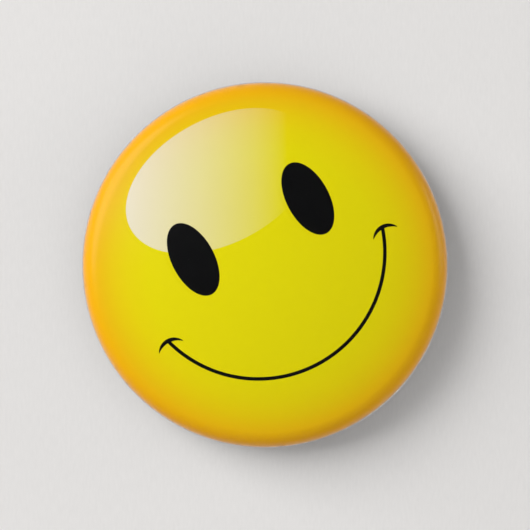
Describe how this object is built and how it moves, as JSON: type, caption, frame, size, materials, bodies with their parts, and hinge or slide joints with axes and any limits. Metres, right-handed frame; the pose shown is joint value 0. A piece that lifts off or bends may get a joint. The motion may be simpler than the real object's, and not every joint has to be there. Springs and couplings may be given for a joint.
{
  "type": "pin-back button badge",
  "caption": "Round domed button badge with a printed smiling face under clear film and a hinged wire pin with a catch on the back.",
  "frame": {"origin": "centre of the flat back land, where the badge meets what it is pinned to", "axes": "-Y is the way the face looks, +Z the top of the badge as worn, +X to the right seen from the front"},
  "size_m": [0.0572, 0.0074, 0.0572],
  "materials": {
    "clear_film": "gloss",
    "printed_paper": "gloss print",
    "cream_ink": "gloss print",
    "black_ink": "gloss print",
    "tinplate": "bright tinned",
    "pin_wire": "nickel plated"
  },
  "bodies": {
    "badge": {"clear_film": "clear_film", "printed_paper": "printed_paper", "highlight_ink": "cream_ink", "eye_inks": "black_ink", "smile_ink": "black_ink", "front_shell": "tinplate", "back_plate": "tinplate", "pin_leg": "pin_wire"},
    "pin": {"pin_arm": "pin_wire"}
  },
  "joints": [
    {"name": "pin_hinge", "type": "hinge", "parent": "badge", "child": "pin", "pos_m": [0.01396, -0.00223, 0.006], "axis": [0, -0.848, -0.5299], "range_deg": [0, 35]}
  ]
}
